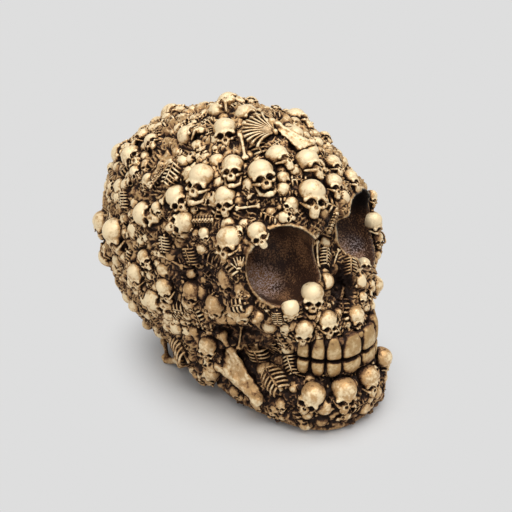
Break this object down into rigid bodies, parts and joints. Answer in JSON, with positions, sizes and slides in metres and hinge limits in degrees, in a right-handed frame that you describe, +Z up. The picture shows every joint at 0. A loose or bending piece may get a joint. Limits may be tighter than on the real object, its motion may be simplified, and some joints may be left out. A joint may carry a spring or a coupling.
{
  "type": "halloween skull decoration",
  "caption": "Life-like human skull ornament in antique-gold resin, its whole surface built up of small skulls, rib cages, backbones, hands and long bones, standing on its jaw",
  "frame": {"origin": "on the standing plane, under the middle of the ornament's bounding box", "axes": "+X is the skull's own left, -Y is where the face looks, +Z is up"},
  "size_m": [0.1008, 0.1544, 0.1274],
  "materials": {
    "aged_bronze": "cold-cast resin with a near-black brown wash left in the hollows, and bronze and antique-gold paint rubbed over what stands out",
    "bone_gold": "cold-cast resin, antique-gold metallic paint, dark brown in the recesses and pale gold where it is rubbed bright",
    "tooth_gold": "cold-cast resin, duller antique gold, dark brown between the teeth",
    "base_brown": "plain dark brown resin, flat",
    "felt": "black felt"
  },
  "bodies": {
    "root": {"cranium_casting": "aged_bronze", "jaw_casting": "aged_bronze", "base_plate": "base_brown", "right_front_pad": "felt", "left_front_pad": "felt", "right_rear_pad": "felt", "left_rear_pad": "felt", "upper_teeth": "tooth_gold", "lower_teeth": "tooth_gold", "crown_skull": "bone_gold", "crown_front_skull": "bone_gold", "right_crown_skull": "bone_gold", "forehead_skull": "bone_gold", "right_forehead_skull": "bone_gold", "right_brow_skull": "bone_gold", "right_temple_skull": "bone_gold", "middle_forehead_skull": "bone_gold", "upper_middle_skull": "bone_gold", "left_forehead_skull": "bone_gold", "middle_brow_skull": "bone_gold", "left_brow_skull": "bone_gold", "left_upper_brow_skull": "bone_gold", "left_outer_brow_skull": "bone_gold", "left_temple_skull": "bone_gold", "right_socket_edge_skull": "bone_gold", "right_socket_corner_skull": "bone_gold", "right_socket_top_skull": "bone_gold", "right_cheek_skull": "bone_gold", "right_cheek_rear_skull": "bone_gold", "right_jaw_joint_skull": "bone_gold", "right_side_skull": "bone_gold", "right_rear_skull": "bone_gold", "rear_edge_skull": "bone_gold", "lower_rear_skull": "bone_gold", "canine_lip_skull": "bone_gold", "jaw_corner_skull": "bone_gold", "nose_side_skull": "bone_gold", "under_socket_skull": "bone_gold", "right_lip_skull": "bone_gold", "left_lip_skull": "bone_gold", "left_cheek_skull": "bone_gold", "left_cheek_bone_skull": "bone_gold", "right_side_eye_skull": "bone_gold", "rear_crown_skull": "bone_gold", "right_chin_skull": "bone_gold", "middle_chin_skull": "bone_gold", "left_chin_skull": "bone_gold", "left_jaw_skull": "bone_gold", "crown_long_bone": "bone_gold", "right_long_bone": "bone_gold", "right_arm_bone": "bone_gold", "jaw_long_bone": "bone_gold", "nose_bridge_bone": "bone_gold", "crown_rib_fan": "bone_gold", "jaw_rib_cage": "bone_gold", "rear_rib_cage": "bone_gold", "brow_backbone": "bone_gold", "jaw_hand": "bone_gold", "crown_shoulder_blade": "bone_gold"}
  },
  "joints": []
}
